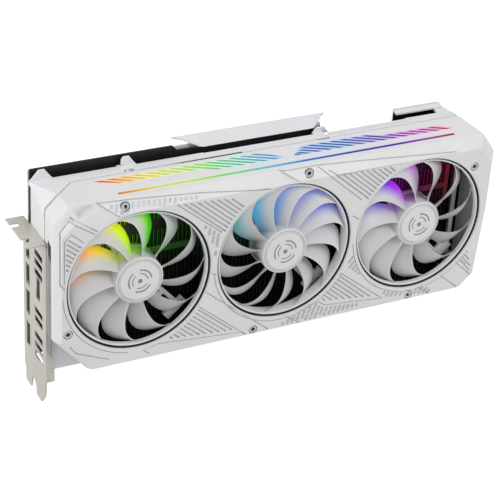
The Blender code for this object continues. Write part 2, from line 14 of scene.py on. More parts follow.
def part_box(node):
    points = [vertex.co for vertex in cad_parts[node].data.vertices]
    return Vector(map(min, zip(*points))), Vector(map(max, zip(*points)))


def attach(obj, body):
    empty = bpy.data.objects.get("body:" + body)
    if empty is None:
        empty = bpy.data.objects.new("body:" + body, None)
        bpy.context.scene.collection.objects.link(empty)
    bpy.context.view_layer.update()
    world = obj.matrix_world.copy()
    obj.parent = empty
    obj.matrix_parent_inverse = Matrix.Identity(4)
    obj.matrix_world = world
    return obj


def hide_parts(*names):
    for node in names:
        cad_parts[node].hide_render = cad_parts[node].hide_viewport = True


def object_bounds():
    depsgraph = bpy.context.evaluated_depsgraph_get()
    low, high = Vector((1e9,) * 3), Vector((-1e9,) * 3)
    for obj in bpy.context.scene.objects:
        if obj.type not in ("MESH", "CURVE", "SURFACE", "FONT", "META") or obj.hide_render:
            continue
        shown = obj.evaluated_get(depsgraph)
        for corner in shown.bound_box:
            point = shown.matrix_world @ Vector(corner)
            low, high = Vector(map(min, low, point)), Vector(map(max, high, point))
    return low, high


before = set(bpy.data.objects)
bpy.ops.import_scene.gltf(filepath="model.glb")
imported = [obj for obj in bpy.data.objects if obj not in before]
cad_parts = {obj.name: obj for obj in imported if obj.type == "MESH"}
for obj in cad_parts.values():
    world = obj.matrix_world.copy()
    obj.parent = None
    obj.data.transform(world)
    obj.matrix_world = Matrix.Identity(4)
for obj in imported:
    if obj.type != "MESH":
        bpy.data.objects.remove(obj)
cad_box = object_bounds()
MM = 0.001
scene = bpy.context.scene


def node_box(node):
    """Lowest and highest corner of a CAD node, in millimetres."""
    low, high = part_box(node)
    return low / MM, high / MM


def node_centre(node):
    low, high = node_box(node)
    return (low + high) / 2


# Each fan's number of blades, the way they are swept, the angle of the first and the back of the outer ring.
BLADES = {"left": (11, 1, 105.8, -46.6), "center": (13, -1, 97.4, -42.2), "right": (11, 1, 89.7, -46.6)}
FAN_Z = node_centre("fan_left_badge").z
FAN_CENTRE = {name: (node_centre("fan_%s_rotor" % name).x, FAN_Z) for name in BLADES}
FRONT_Y = node_box("shroud")[0].y
TOP_Z = node_box("shroud")[1].z

# Slanted light openings: how far they run along x for each mm of y, and the y of their rear and front ends
# in the left and the right window. Halfway along, the left ones get longer and the right ones shorter.
BAR_SLOPE = 1.85
LEFT_BACK = -20.4
LEFT_FRONT = (-27.6, -31.8)
RIGHT_BACK = (-21.2, -25.4)
RIGHT_FRONT = -31.8
# How far the right window's left edge runs along x for each mm of y.
TAIL_SLOPE = 0.947


# ---- camera, light and floor


def make_camera():
    """Long lens above and to the bracket side of the card, rolled a little."""
    yaw, pitch, roll = (math.radians(a) for a in (28.73, 29.54, 3.75))
    look = Vector((math.sin(yaw) * math.cos(pitch), math.cos(yaw) * math.cos(pitch), -math.sin(pitch)))
    right = Vector((math.cos(yaw), -math.sin(yaw), 0))
    up = right.cross(look)
    turned_right = right * math.cos(roll) + up * math.sin(roll)
    turned_up = up * math.cos(roll) - right * math.sin(roll)
    pose = Matrix((turned_right, turned_up, -look)).transposed().to_4x4()
    pose.translation = Vector((-396.1, -844.4, 599.2)) * MM
    data = bpy.data.cameras.new("camera")
    data.lens = 117.2
    data.sensor_width = 36
    data.clip_start = 0.01
    camera = bpy.data.objects.new("camera", data)
    camera.matrix_world = pose
    scene.collection.objects.link(camera)
    scene.camera = camera


def make_light(name, place, target, size, power):
    data = bpy.data.lights.new(name, "AREA")
    data.shape = "DISK"
    data.size = size * MM
    data.energy = power
    lamp = bpy.data.objects.new(name, data)
    lamp.location = Vector(place) * MM
    lamp.rotation_euler = (Vector(target) - Vector(place)).to_track_quat("-Z", "Y").to_euler()
    scene.collection.objects.link(lamp)


def make_studio():
    """White surround, a large soft key from the fan side, two fainter lamps, and a pale floor."""
    world = bpy.data.worlds.new("studio")
    world.use_nodes = True
    tree = world.node_tree
    sky = tree.nodes["Background"]
    sky.inputs["Color"].default_value = (1, 1, 1, 1)
    seen = add(tree, "LightPath").outputs["Is Camera Ray"]
    tree.links.new(between(tree, seen, 0, 1, 0.62, 1), sky.inputs["Strength"])
    scene.world = world
    scene.view_settings.view_transform = "Standard"
    middle = (60, 0, 70)
    make_light("key", (500, -1000, 900), middle, 500, 3.9)
    make_light("side", (-1100, 50, 330), middle, 700, 4.4)
    make_light("top", (100, 200, 1200), middle, 500, 1.2)
    bm = bmesh.new()
    bmesh.ops.create_grid(bm, x_segments=2, y_segments=2, size=6)
    floor = mesh_object("floor", bm, "floor_paper", 1)
    floor.location.z = cad_box[0][2] - 0.0002


# ---- mesh helpers


def mesh_object(name, bm, material=None, scale=MM):
    """Object from a bmesh in millimetres, which is used up."""
    bmesh.ops.scale(bm, vec=(scale,) * 3, verts=bm.verts)
    mesh = bpy.data.meshes.new(name)
    bm.to_mesh(mesh)
    bm.free()
    obj = bpy.data.objects.new(name, mesh)
    scene.collection.objects.link(obj)
    if material:
        mesh.materials.append(MATERIAL[material])
    return obj


def discard(obj):
    mesh = obj.data
    bpy.data.objects.remove(obj)
    bpy.data.meshes.remove(mesh)


def smooth(obj, angle=35):
    """Smooth shading with sharp edges kept, flat faces weighted so that they stay flat."""
    obj.data.shade_smooth()
    obj.data.set_sharp_from_angle(angle=math.radians(angle))
    weighted = obj.modifiers.new("weighted", "WEIGHTED_NORMAL")
    weighted.keep_sharp = True
    return obj


def place(obj, slot, body="card", replaces=()):
    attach(obj, body)
    if replaces:
        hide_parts(*replaces)


def piece(name, bm, material, slot=None, body="card", angle=35, replaces=()):
    """Turns a bmesh in millimetres into a shown piece that rides on a body."""
    bmesh.ops.recalc_face_normals(bm, faces=bm.faces)
    place(smooth(mesh_object(name, bm, material), angle), slot or material, body, replaces)


def add_loop_solid(bm, rings):
    """Closed solid through rings of points with equal counts."""
    made = [[bm.verts.new(p) for p in ring] for ring in rings]
    count = len(made[0])
    for a, b in zip(made, made[1:]):
        for i in range(count):
            j = (i + 1) % count
            bm.faces.new((a[i], a[j], b[j], b[i]))
    bm.faces.new(made[0])
    bm.faces.new(reversed(made[-1]))
    return made


def add_prism(bm, outline, axis, lo, hi):
    """Outline pushed along an axis: (x, z) for Y, (x, y) for Z, (y, z) for X."""
    order = {"X": (2, 0, 1), "Y": (0, 2, 1), "Z": (0, 1, 2)}[axis]
    rings = []
    for depth in (lo, hi):
        ring = []
        for a, b in outline:
            values = (a, b, depth)
            ring.append(tuple(values[k] for k in order))
        rings.append(ring)
    return add_loop_solid(bm, rings)


def oblong(left, right, front, back):
    return [(left, front), (right, front), (right, back), (left, back)]


def add_box(bm, x, y, z):
    add_prism(bm, oblong(*x, *y), "Z", *z)


def circle(x, z, r, count=32, start=0):
    angles = [start + 2 * math.pi * i / count for i in range(count)]
    return [(x + r * math.cos(a), z + r * math.sin(a)) for a in angles]


def add_turned(bm, centre, profile, count=96, closed=False):
    """(radius, y) profile turned about an axis along Y through centre (x, z)."""
    rings = []
    for r, y in profile:
        if r < 1e-6:
            rings.append([bm.verts.new((centre[0], y, centre[1]))])
        else:
            rings.append([bm.verts.new((px, y, pz)) for px, pz in circle(*centre, r, count)])
    pairs = list(zip(rings, rings[1:]))
    if closed:
        pairs.append((rings[-1], rings[0]))
    for a, b in pairs:
        for i in range(count):
            j = (i + 1) % count
            corners = [a[i % len(a)], a[j % len(a)], b[j % len(b)], b[i % len(b)]]
            bm.faces.new(list(dict.fromkeys(corners)))


def from_face(face, *profile):
    """(radius, y) profile whose y is counted from a face."""
    return [(r, face + y) for r, y in profile]


def round_corners(points, radius, steps=3):
    """Closed (a, b) outline with its corners rounded."""
    out = []
    count = len(points)
    for i, here in enumerate(points):
        here = Vector(here)
        back = Vector(points[i - 1]) - here
        on = Vector(points[(i + 1) % count]) - here
        reach = min(radius, back.length * 0.45, on.length * 0.45)
        start, end = here + back.normalized() * reach, here + on.normalized() * reach
        for k in range(steps + 1):
            t = k / steps
            p = start * (1 - t) ** 2 + here * 2 * t * (1 - t) + end * t * t
            out.append((p.x, p.y))
    return out


def in_millimetres(mesh):
    """Welded bmesh of a mesh in metres."""
    bm = bmesh.new()
    bm.from_mesh(mesh)
    bmesh.ops.scale(bm, vec=(1 / MM,) * 3, verts=bm.verts)
    bmesh.ops.remove_doubles(bm, verts=bm.verts, dist=0.004)
    return bm


def node_copy(node, merge=True):
    """The CAD node's mesh in millimetres, with flat areas merged if asked."""
    bm = in_millimetres(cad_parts[node].data)
    if merge:
        bmesh.ops.dissolve_limit(bm, angle_limit=math.radians(0.6), verts=bm.verts, edges=bm.edges)
    return bm


def soften(bm, width, angle):
    """Rounds every edge sharper than angle."""
    limit = math.radians(angle)
    edges = [e for e in bm.edges if len(e.link_faces) == 2 and e.calc_face_angle(0) > limit]
    bmesh.ops.bevel(bm, geom=edges, offset=width, offset_type="OFFSET", segments=2, profile=0.5,
                    affect="EDGES", clamp_overlap=False)


def cut(obj, cutters):
    """Subtracts each bmesh cutter (millimetres) for good; one that would eat the piece is left out."""
    for tool_mesh in cutters:
        bmesh.ops.recalc_face_normals(tool_mesh, faces=tool_mesh.faces)
        tool = mesh_object("cutter", tool_mesh)
        modifier = obj.modifiers.new("cut", "BOOLEAN")
        modifier.operation = "DIFFERENCE"
        modifier.object = tool
        graph = bpy.context.evaluated_depsgraph_get()
        result = bpy.data.meshes.new_from_object(obj.evaluated_get(graph))
        obj.modifiers.clear()
        old = obj.data
        if len(result.polygons) * 2 < len(old.polygons):
            bpy.data.meshes.remove(result)
        else:
            obj.data = result
            result.name = old.name
            bpy.data.meshes.remove(old)
        discard(tool)
    return obj


def trimmed_copy(node, cutters):
    """The CAD node's mesh in millimetres after coarse cuts."""
    obj = cut(mesh_object("trim", node_copy(node)), cutters)
    bm = in_millimetres(obj.data)
    discard(obj)
    return bm


def refined(node, material, width, cutters=(), slot=None, body="card", trims=()):
    """Shown copy of a CAD node: coarse trims, then rounded edges, then fine cuts."""
    bm = trimmed_copy(node, trims) if trims else node_copy(node, width > 0)
    if width:
        soften(bm, width, 24)
    bmesh.ops.recalc_face_normals(bm, faces=bm.faces)
    obj = cut(mesh_object(node + "_fine", bm, material), cutters)
    place(smooth(obj), slot or material, body, [node])


# ---- material helpers


MATERIAL = {}


def linear(colour):
    """sRGB values of 0 to 255 as linear light."""
    out = []
    for c in colour:
        c /= 255
        out.append(c / 12.92 if c <= 0.04045 else ((c + 0.055) / 1.055) ** 2.4)
    return (*out, 1)


def material(name, roughness, metallic=0, **sockets):
    made = bpy.data.materials.new(name)
    made.use_nodes = True
    shader = made.node_tree.nodes["Principled BSDF"]
    shader.inputs["Roughness"].default_value = roughness
    shader.inputs["Metallic"].default_value = metallic
    for key, value in sockets.items():
        shader.inputs[key.replace("_", " ")].default_value = value
    MATERIAL[name] = made
    return made


def add(tree, kind, links=(), **settings):
    """A node with named settings; links are (input, output socket) pairs."""
    node = tree.nodes.new("ShaderNode" + kind)
    for key, value in settings.items():
        if hasattr(node, key):
            setattr(node, key, value)
        else:
            node.inputs[key.replace("_", " ")].default_value = value
    for key, socket in links:
        tree.links.new(socket, node.inputs[key])
    return node


def object_point(tree, stretch=(1, 1, 1)):
    coords = add(tree, "TexCoord").outputs["Object"]
    if stretch == (1, 1, 1):
        return coords
    return add(tree, "Mapping", [("Vector", coords)], Scale=stretch).outputs["Vector"]


def noise(tree, scale, detail=3, stretch=(1, 1, 1)):
    return add(tree, "TexNoise", [("Vector", object_point(tree, stretch))], Scale=scale,
               Detail=detail).outputs["Fac"]


def ramp(tree, value, stops):
    """Colour ramp with (position, linear colour) stops."""
    node = add(tree, "ValToRGB", [("Fac", value)])
    elements = node.color_ramp.elements
    while len(elements) < len(stops):
        elements.new(0.5)
    for element, (position, colour) in zip(elements, stops):
        element.position = position
        element.color = colour
    return node.outputs["Color"]


def between(tree, value, low, high, to_low=0, to_high=1):
    node = add(tree, "MapRange", [("Value", value)])
    for key, number in (("From Min", low), ("From Max", high), ("To Min", to_low), ("To Max", to_high)):
        node.inputs[key].default_value = number
    return node.outputs["Result"]


def compute(tree, operation, *values):
    node = tree.nodes.new("ShaderNodeMath")
    node.operation = operation
    for i, value in enumerate(values):
        if isinstance(value, (int, float)):
            node.inputs[i].default_value = value
        else:
            tree.links.new(value, node.inputs[i])
    return node.outputs[0]


def times(tree, value, *factors):
    """Product of sockets and numbers."""
    for factor in factors:
        value = compute(tree, "MULTIPLY", value, factor)
    return value


def rise(tree, value, start, end):
    """0 at start and 1 at end, both in millimetres; end may be the lower one."""
    return between(tree, value, start * MM, end * MM)


def band(tree, value, start, end, fade):
    """1 between start and end (mm), falling to 0 over fade on both sides."""
    return times(tree, rise(tree, value, start - fade, start), rise(tree, value, end + fade, end))


def blend(tree, factor, a, b):
    """Mixes colour socket a with b, a socket or a linear colour."""
    node = add(tree, "Mix", data_type="RGBA")
    for index, value in ((0, factor), (6, a), (7, b)):
        if isinstance(value, tuple):
            node.inputs[index].default_value = value
        else:
            tree.links.new(value, node.inputs[index])
    return node.outputs[2]


def roughen(tree, inputs, height, strength, distance):
    bump = add(tree, "Bump", [("Height", height)], Strength=strength, Distance=distance)
    tree.links.new(bump.outputs["Normal"], inputs["Normal"])


def emit(tree, inputs, colour, strength):
    tree.links.new(colour, inputs["Emission Color"])
    tree.links.new(strength, inputs["Emission Strength"])


def plain(name, roughness, metallic, dark, light, grain, depth, rough_range, cloud=30, stretch=(1, 1, 1),
          **sockets):
    """Cloudy colour between two sRGB tones, uneven roughness and a fine moulded or brushed grain."""
    made = material(name, roughness, metallic, **sockets)
    tree, inputs = opened(made)
    fine = noise(tree, grain, 3, stretch)
    mixed = compute(tree, "ADD", times(tree, noise(tree, cloud, 4), 0.65), times(tree, fine, 0.35))
    tree.links.new(ramp(tree, mixed, [(0.3, linear(dark)), (0.7, linear(light))]), inputs["Base Color"])
    tree.links.new(between(tree, fine, 0.3, 0.7, *rough_range), inputs["Roughness"])
    roughen(tree, inputs, fine, depth, 0.00008)
    return made


def opened(made):
    """A material's tree and the inputs of its shader."""
    return made.node_tree, made.node_tree.nodes["Principled BSDF"].inputs


def parted(tree, vector=None):
    """x, y and z of a vector, by default of the shaded point on the object."""
    return add(tree, "SeparateXYZ", [("Vector", vector or object_point(tree))]).outputs


# Light colour along the card's length: (x in millimetres, sRGB red, green, blue). The slanted bars, the
# painted light on the white skin between them, the long strip, and the painted light on the fans and fins.
BAR_COLOURS = ((-58, 205, 80, 35), (-46, 215, 105, 45), (-34, 232, 166, 70), (-22, 220, 202, 86),
               (-7, 198, 210, 102), (11, 154, 202, 114), (25, 120, 186, 132), (39, 100, 168, 160),
               (57, 88, 142, 182), (75, 70, 102, 175), (95, 48, 78, 160), (114, 38, 76, 145),
               (125, 42, 56, 145), (139, 45, 36, 132), (152, 65, 32, 125), (164, 112, 40, 125),
               (179, 142, 42, 110), (190, 150, 30, 75), (200, 130, 20, 40))
PAINTED_SKIN_GLOW_COLOURS = ((-58, 255, 196, 160), (-40, 255, 216, 140), (-25, 250, 244, 150), (0, 226, 255, 160),
                (20, 190, 255, 176), (40, 190, 255, 226), (57, 186, 236, 255), (80, 182, 216, 255),
                (114, 168, 214, 255), (130, 200, 200, 255), (145, 196, 172, 255), (160, 236, 166, 255),
                (178, 255, 168, 240), (190, 255, 164, 204), (200, 255, 196, 208))
STRIP_COLOURS = ((-48, 212, 112, 60), (-38, 226, 158, 82), (-24, 216, 220, 105), (0, 194, 222, 104),
                 (19, 146, 208, 116), (38, 118, 198, 146), (52, 104, 180, 190), (67, 84, 152, 205),
                 (80, 66, 108, 190), (100, 54, 74, 175), (120, 44, 42, 160), (139, 42, 26, 150),
                 (158, 75, 33, 150), (172, 128, 42, 150), (187, 148, 26, 88), (196, 120, 22, 42))
PAINTED_FAN_TINTS = ((-88, 245, 150, 90), (-72, 240, 160, 30), (-57, 235, 225, 20), (-42, 200, 255, 30),
               (-28, 60, 200, 20), (2, 40, 110, 20), (24, 20, 150, 130), (40, 70, 176, 200),
               (56, 88, 146, 206), (76, 132, 146, 202), (94, 66, 88, 220), (120, 80, 60, 230),
               (142, 110, 25, 225), (158, 215, 70, 250), (168, 140, 0, 150), (186, 150, 15, 80),
               (205, 150, 20, 50))

# How much of that painted light the blades show, along x: it is painted on the left half of each fan.
PAINTED_FAN_LIGHT_SHARE = ((-90, 1), (-28, 1), (-13, 0.15), (20, 0.2), (28, 1), (62, 1), (96, 0.7), (106, 0.3),
             (114, 1), (152, 1), (170, 0.3), (205, 0.1))


def along_card(tree, x, stops):
    """Ramp along the card through (x in millimetres, linear colour) stops."""
    first, last = stops[0][0], stops[-1][0]
    return ramp(tree, rise(tree, x, first, last), [((at - first) / (last - first), c) for at, c in stops])


def length_colour(tree, x, colours, gain=1):
    return along_card(tree, x, [(at, [c * gain for c in linear(rgb)[:3]] + [1]) for at, *rgb in colours])


# ---- materials


def painted_bar_glow(tree, x, y):
    """Mask of the painted light on the skin: 1 around the slanted bars, with the steps at their ends."""
    shifted = compute(tree, "ADD", x, -BAR_SLOPE * LEFT_BACK * MM)
    along = compute(tree, "ADD", times(tree, y, BAR_SLOPE), shifted)
    front = between(tree, along, 0, 2 * MM, LEFT_FRONT[0] * MM, LEFT_FRONT[1] * MM)
    left = times(tree, band(tree, along, -57, 51, 1.5), rise(tree, y, LEFT_BACK + 0.8, LEFT_BACK),
                 rise(tree, compute(tree, "SUBTRACT", y, front), -1.2, -0.2))
    back = between(tree, along, 137 * MM, 139 * MM, RIGHT_BACK[0] * MM, RIGHT_BACK[1] * MM)
    edge = compute(tree, "SUBTRACT", x, times(tree, y, TAIL_SLOPE))
    right = times(tree, rise(tree, edge, 106.2, 107.2), rise(tree, along, 182.5, 181),
                  rise(tree, compute(tree, "SUBTRACT", y, back), 1.2, 0.2),
                  rise(tree, y, RIGHT_FRONT - 1, RIGHT_FRONT))
    return compute(tree, "MAXIMUM", left, right)


def white_plastic():
    """Satin white moulded plastic with painted light on the top face: the bars' colour, glowing faintly,
    between and next to the light bars and along the long strip.
    """
    tree, inputs = opened(
        plain("white_plastic", 0.42, 0, (229, 229, 230), (238, 238, 238), 2600, 0.10, (0.36, 0.48), IOR=1.46))
    white = inputs["Base Color"].links[0].from_socket
    point = parted(tree)
    # Painted light: masks for the skin around the bars and along the strip, which tint the top face and make
    # it glow faintly.
    strip = times(tree, band(tree, point["Y"], -41, -39, 2.2), band(tree, point["X"], -46, 192, 4), 0.6)
    glow = compute(tree, "MAXIMUM", painted_bar_glow(tree, point["X"], point["Y"]), strip)
    amount = times(tree, glow, rise(tree, point["Z"], TOP_Z - 2, TOP_Z - 1))
    colour = length_colour(tree, point["X"], PAINTED_SKIN_GLOW_COLOURS)
    tree.links.new(blend(tree, times(tree, amount, 0.8), white, colour), inputs["Base Color"])
    emit(tree, inputs, colour, times(tree, amount, 0.10))


def fan_white():
    """White fan plastic with painted shade, greyer deep between the blades, and painted coloured light there
    that glows and stays in place.
    """
    tree, inputs = opened(
        plain("fan_white", 0.40, 0, (230, 230, 231), (238, 238, 238), 3000, 0.06, (0.34, 0.44), 45, IOR=1.46))
    white = inputs["Base Color"].links[0].from_socket
    point = parted(tree, add(tree, "NewGeometry").outputs["Position"])
    # Painted shade: greyer with depth between the blades.
    shade = compute(tree, "POWER", rise(tree, point["Y"], -47.5, -41), 1.8)
    shaded = blend(tree, shade, white, linear((200, 200, 202)))
    # Painted light: coloured and glowing deep between the blades on their upper part, starting lower on the
    # left fan.
    raised = compute(tree, "ADD", point["Z"], between(tree, point["X"], -82 * MM, -56 * MM, 11 * MM, 0))
    deep = compute(tree, "POWER", rise(tree, point["Y"], -46.8, -42.4), 1.3)
    share = along_card(tree, point["X"], [(at, (v, v, v, 1)) for at, v in PAINTED_FAN_LIGHT_SHARE])
    lit = times(tree, rise(tree, raised, 86, 105), deep, share)
    colour = length_colour(tree, point["X"], PAINTED_FAN_TINTS)
    tree.links.new(blend(tree, lit, shaded, colour), inputs["Base Color"])
    emit(tree, inputs, colour, times(tree, lit, 0.36))


def fin_black():
    """Black-coated aluminium, paler towards the front edges, with painted light from above in the colour of
    the light bar glowing on those edges.
    """
    tree, inputs = opened(
        plain("fin_black", 0.5, 0.35, (12, 11, 10), (30, 27, 25), 700, 0.15, (0.4, 0.6), 60, (0.4, 1, 4)))
    black = inputs["Base Color"].links[0].from_socket
    point = parted(tree)
    edge = rise(tree, point["Y"], -30.6, -31.3)
    high = compute(tree, "POWER", rise(tree, point["Z"], 76, 120), 1.2)
    tree.links.new(blend(tree, edge, black, linear((74, 68, 62))), inputs["Base Color"])
    # Painted light: the light bar's colour glows on the upper front edges.
    emit(tree, inputs, length_colour(tree, point["X"], PAINTED_FAN_TINTS), times(tree, high, edge, 0.55))


def board_lacquer():
    """Black board: faint traces under a glossy lacquer."""
    tree, inputs = opened(material("board", 0.55, Coat_Weight=0.06, Coat_Roughness=0.35))
    point = parted(tree)
    lines = compute(tree, "SINE", times(tree, compute(tree, "ADD", point["X"], point["Z"]), 4200))
    patches = compute(tree, "GREATER_THAN", noise(tree, 90, 1), 0.52)
    traces = times(tree, compute(tree, "GREATER_THAN", lines, 0.1), patches)
    stops = [(0, linear((15, 15, 16))), (1, linear((24, 25, 26)))]
    tree.links.new(ramp(tree, traces, stops), inputs["Base Color"])
    roughen(tree, inputs, traces, 0.3, 0.00004)


def lens(name, colours):
    """Frosted light diffuser whose colour runs along the card."""
    tree, inputs = opened(material(name, 0.5, Specular_IOR_Level=0.25))
    x = parted(tree)["X"]
    tree.links.new(length_colour(tree, x, colours, 0.25), inputs["Base Color"])
    emit(tree, inputs, length_colour(tree, x, colours),
         between(tree, noise(tree, 700, 2), 0.3, 0.7, 0.68, 0.82))


def floor_paper():
    """White paper, burnt out for the camera so that it shows no edge and hardly any shadow."""
    tree, inputs = opened(plain("floor_paper", 0.8, 0, (150, 150, 150), (158, 158, 158), 900, 0.02,
                                (0.75, 0.9), 3, Emission_Color=(1, 1, 1, 1)))
    seen = add(tree, "LightPath").outputs["Is Camera Ray"]
    tree.links.new(between(tree, seen, 0, 1, 0.30, 0.93), inputs["Emission Strength"])


white_plastic()
fan_white()
fin_black()
board_lacquer()
floor_paper()
lens("lens_bars", BAR_COLOURS)
lens("lens_strip", STRIP_COLOURS)
# The rest are plain: roughness, metallic, darker and lighter tone, grain and its depth, range of the
# roughness, size of the cloudy patches, and where needed the stretch of the grain.
plain("white_metal", 0.38, 0, (226, 227, 230), (238, 239, 241), 1500, 0.12, (0.32, 0.46), 22,
      IOR=1.5, Coat_Weight=0.15, Coat_Roughness=0.35)
plain("bracket_steel", 0.42, 0.35, (206, 202, 194), (226, 223, 215), 900, 0.10, (0.34, 0.52), 14,
      (1, 1, 0.06))
plain("port_steel", 0.3, 0.85, (150, 149, 145), (190, 188, 182), 1200, 0.08, (0.24, 0.4), 60)
plain("dark_steel", 0.38, 0.8, (44, 44, 46), (92, 92, 94), 1800, 0.12, (0.3, 0.5), 160)
plain("screw_zinc", 0.35, 0.6, (206, 207, 209), (228, 229, 230), 1600, 0.08, (0.28, 0.42), 120)
plain("black_plastic", 0.45, 0, (20, 20, 21), (34, 34, 36), 2400, 0.15, (0.38, 0.55), 50, IOR=1.5)
plain("copper", 0.3, 1, (176, 104, 74), (206, 136, 100), 800, 0.1, (0.25, 0.42), 40, (0.1, 1, 1))
plain("gold", 0.22, 1, (214, 168, 84), (238, 200, 118), 1500, 0.05, (0.16, 0.3), 80)
plain("solder", 0.3, 1, (160, 160, 160), (200, 200, 198), 2500, 0.2, (0.25, 0.4), 90)
plain("ceramic", 0.45, 0, (134, 104, 74), (166, 134, 98), 3000, 0.1, (0.4, 0.55), 200)
plain("chip_resin", 0.5, 0, (26, 27, 29), (40, 41, 43), 3500, 0.2, (0.45, 0.6), 120)
plain("magnet", 0.6, 0.3, (40, 38, 37), (62, 60, 58), 1500, 0.3, (0.5, 0.7), 90)
plain("package", 0.3, 0, (18, 52, 38), (26, 70, 50), 1800, 0.1, (0.25, 0.4), 60)
plain("pale_ink", 0.3, 0, (184, 184, 187), (202, 202, 205), 1600, 0.06, (0.24, 0.36), 40)
plain("grey_ink_and_shade", 0.4, 0, (126, 126, 130), (150, 150, 154), 2600, 0.06, (0.34, 0.46), 90)


def dress(name, *nodes):
    """Gives CAD nodes their shown material."""
    for node in nodes:
        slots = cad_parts[node].data.materials
        slots.clear()
        slots.append(MATERIAL[name])


# ---- shroud

SLAT_ANGLE = math.radians(-40)
RIM_R = 50.6


def spans_in_polygon(point, direction, polygon):
    """Stretches of a line inside a closed outline, as pairs of distances along it."""
    crossings = []
    for a, b in zip(polygon, polygon[1:] + polygon[:1]):
        edge = Vector(b) - Vector(a)
        det = direction.x * edge.y - direction.y * edge.x
        if abs(det) < 1e-9:
            continue
        gap = Vector(a) - point
        s = (gap.x * edge.y - gap.y * edge.x) / det
        t = (gap.x * direction.y - gap.y * direction.x) / det
        if 0 <= t < 1:
            crossings.append(s)
    crossings.sort()
    return list(zip(crossings[::2], crossings[1::2]))


def outside_circle(span, point, direction, centre, radius):
    """What is left of a stretch outside a circle."""
    to_centre = Vector(centre) - point
    middle = to_centre.dot(direction)
    apart = (to_centre - direction * middle).length
    if apart >= radius:
        return [span]
    half = math.sqrt(radius * radius - apart * apart)
    rest = [(span[0], min(span[1], middle - half)), (max(span[0], middle + half), span[1])]
    return [(a, b) for a, b in rest if b - a > 0]


def hatch_lines(polygon, angle, pitch, keep_out, shortest=2):
    """Parallel segments that fill an outline and stay out of the fan rims."""
    direction = Vector((math.cos(angle), math.sin(angle)))
    across = Vector((-direction.y, direction.x))
    reach = [Vector(p).dot(across) for p in polygon]
    lines = []
    for k in range(int((max(reach) - min(reach)) / pitch)):
        point = across * (min(reach) + pitch * (k + 0.5))
        spans = spans_in_polygon(point, direction, polygon)
        for centre, radius in keep_out:
            spans = [part for span in spans
                     for part in outside_circle(span, point, direction, centre, radius)]
        for a, b in spans:
            if b - a > shortest:
                lines.append((point + direction * a, point + direction * b))
    return lines


def rims(radius=RIM_R):
    return [(centre, radius) for centre in FAN_CENTRE.values()]


SLAT_BLOCKS = (
    [(-12, 129.5), (16, 128), (27, 126.5), (38, 119), (30, 100), (17.5, 105)],
    [(97, 130), (141, 128.5), (147, 124), (125, 105.5), (121.5, 109)],
    [(-21, 33), (32, 28.5), (2.5, 51.5), (-9, 50)],
    [(95.5, 36), (139, 30.5), (104.5, 56), (93, 50)],
    [(-87, 90), (-87, 117.5), (-83, 121), (-75.5, 114.5), (-82, 100)],
)
TAIL_BLOCK = [(201, 47), (213.2, 34.5), (214.2, 38.5), (207.5, 56)]

# Panel lines on the front, as (x, z) points in the order they are drawn.
PANEL_LINES = (
    [(-65, 137.6), (-41, 136.6), (1, 133.8), (51, 128.6)],
    [(-65, 137.6), (-54.3, 130), (-52, 128)],
    [(59, 137.6), (63, 137), (85, 137), (116.5, 135.3), (190, 130.7)],
    [(59, 137.6), (70.8, 130), (72.5, 128.6)],
    [(86, 136.2), (94, 129.6), (119, 108)],
    [(93, 133.2), (97, 131), (124.4, 107.5)],
    [(-14.5, 130), (17.6, 104)],
    [(-83.5, 133), (-66.2, 121)],
    [(-90.2, 88), (-90.2, 123.6), (-84.2, 130.6), (-67.6, 119.2)],
    [(-88, 89), (-88, 118), (-83.4, 122.4), (-75.6, 115.4)],
    [(-90.2, 88), (-88.4, 86.4), (-87.6, 84.6)],
    [(-34.5, 28.6), (-24, 31), (36, 25.6), (3, 53)],
    [(-34.5, 28.6), (-30, 25)],
    [(36, 25.6), (41.5, 21.2)],
    [(8, 62.4), (58.5, 21)],
    [(68, 30.6), (82, 21.2)],
    [(77, 31.2), (91.4, 37), (98, 32.4), (143, 27.6), (105, 57.4)],
    [(171.5, 30), (184, 21.4)],
    [(187.4, 37.4), (206.5, 21.6)],
    [(199.6, 45), (214.6, 31.2)],
    [(-84.4, 43), (-80, 37), (-58, 27.4)],
    [(113, 97.6), (120.4, 92)],
    [(10.6, 76.4), (16, 73)],
)
HATCH_ZONES = (
    ([(-61, 136.4), (-41, 135.8), (1, 133), (46, 128.9), (30, 129.4), (-12, 131.2), (-17, 129.2),
      (-50, 127.6)], 68),
    ([(-16, 129), (16.4, 103.4), (15.6, 92), (12.6, 84), (9.8, 92), (4, 108)], 84),
    ([(108.6, 62), (140, 35), (146, 27.6), (186, 23.4), (176, 32), (160, 30), (130, 46), (116.4, 74)], 52),
    ([(60, 24), (92, 23.4), (139, 26.6), (97, 31.4), (91.4, 35.6), (76, 30)], 70),
)


def skin_y(skin, x, z):
    """y of the shroud's front skin at (x, z)."""
    hit = skin.ray_cast(Vector((x, FRONT_Y - 20, z)), Vector((0, 1, 0)))[0]
    return hit.y if hit and hit.y < FRONT_Y + 7 else FRONT_Y


def dense(points, step):
    """The same line with extra points at most a step apart."""
    out = [Vector(points[0])]
    for a, b in zip(points, points[1:]):
        a, b = Vector(a), Vector(b)
        count = max(1, math.ceil((b - a).length / step))
        out += [a.lerp(b, (k + 1) / count) for k in range(count)]
    return out


def add_ribbon(bm, skin, points, width, above, below, step=5):
    """Band along a line on the front skin, from above it to below it."""
    points = dense(points, step)
    half = width / 2
    rings = []
    for i, here in enumerate(points):
        before = (here - points[i - 1]).normalized() if i else None
        after = (points[i + 1] - here).normalized() if i + 1 < len(points) else None
        run = ((before or after) + (after or before)).normalized()
        side = Vector((-run.y, run.x))
        stretch = 1 / max(0.4, side.dot(Vector((-(after or before).y, (after or before).x))))
        a, b = here + side * half * stretch, here - side * half * stretch
        ya, yb = skin_y(skin, *a), skin_y(skin, *b)
        rings.append([(a.x, ya - above, a.y), (b.x, yb - above, b.y), (b.x, yb + below, b.y),
                      (a.x, ya + below, a.y)])
    add_loop_solid(bm, rings)


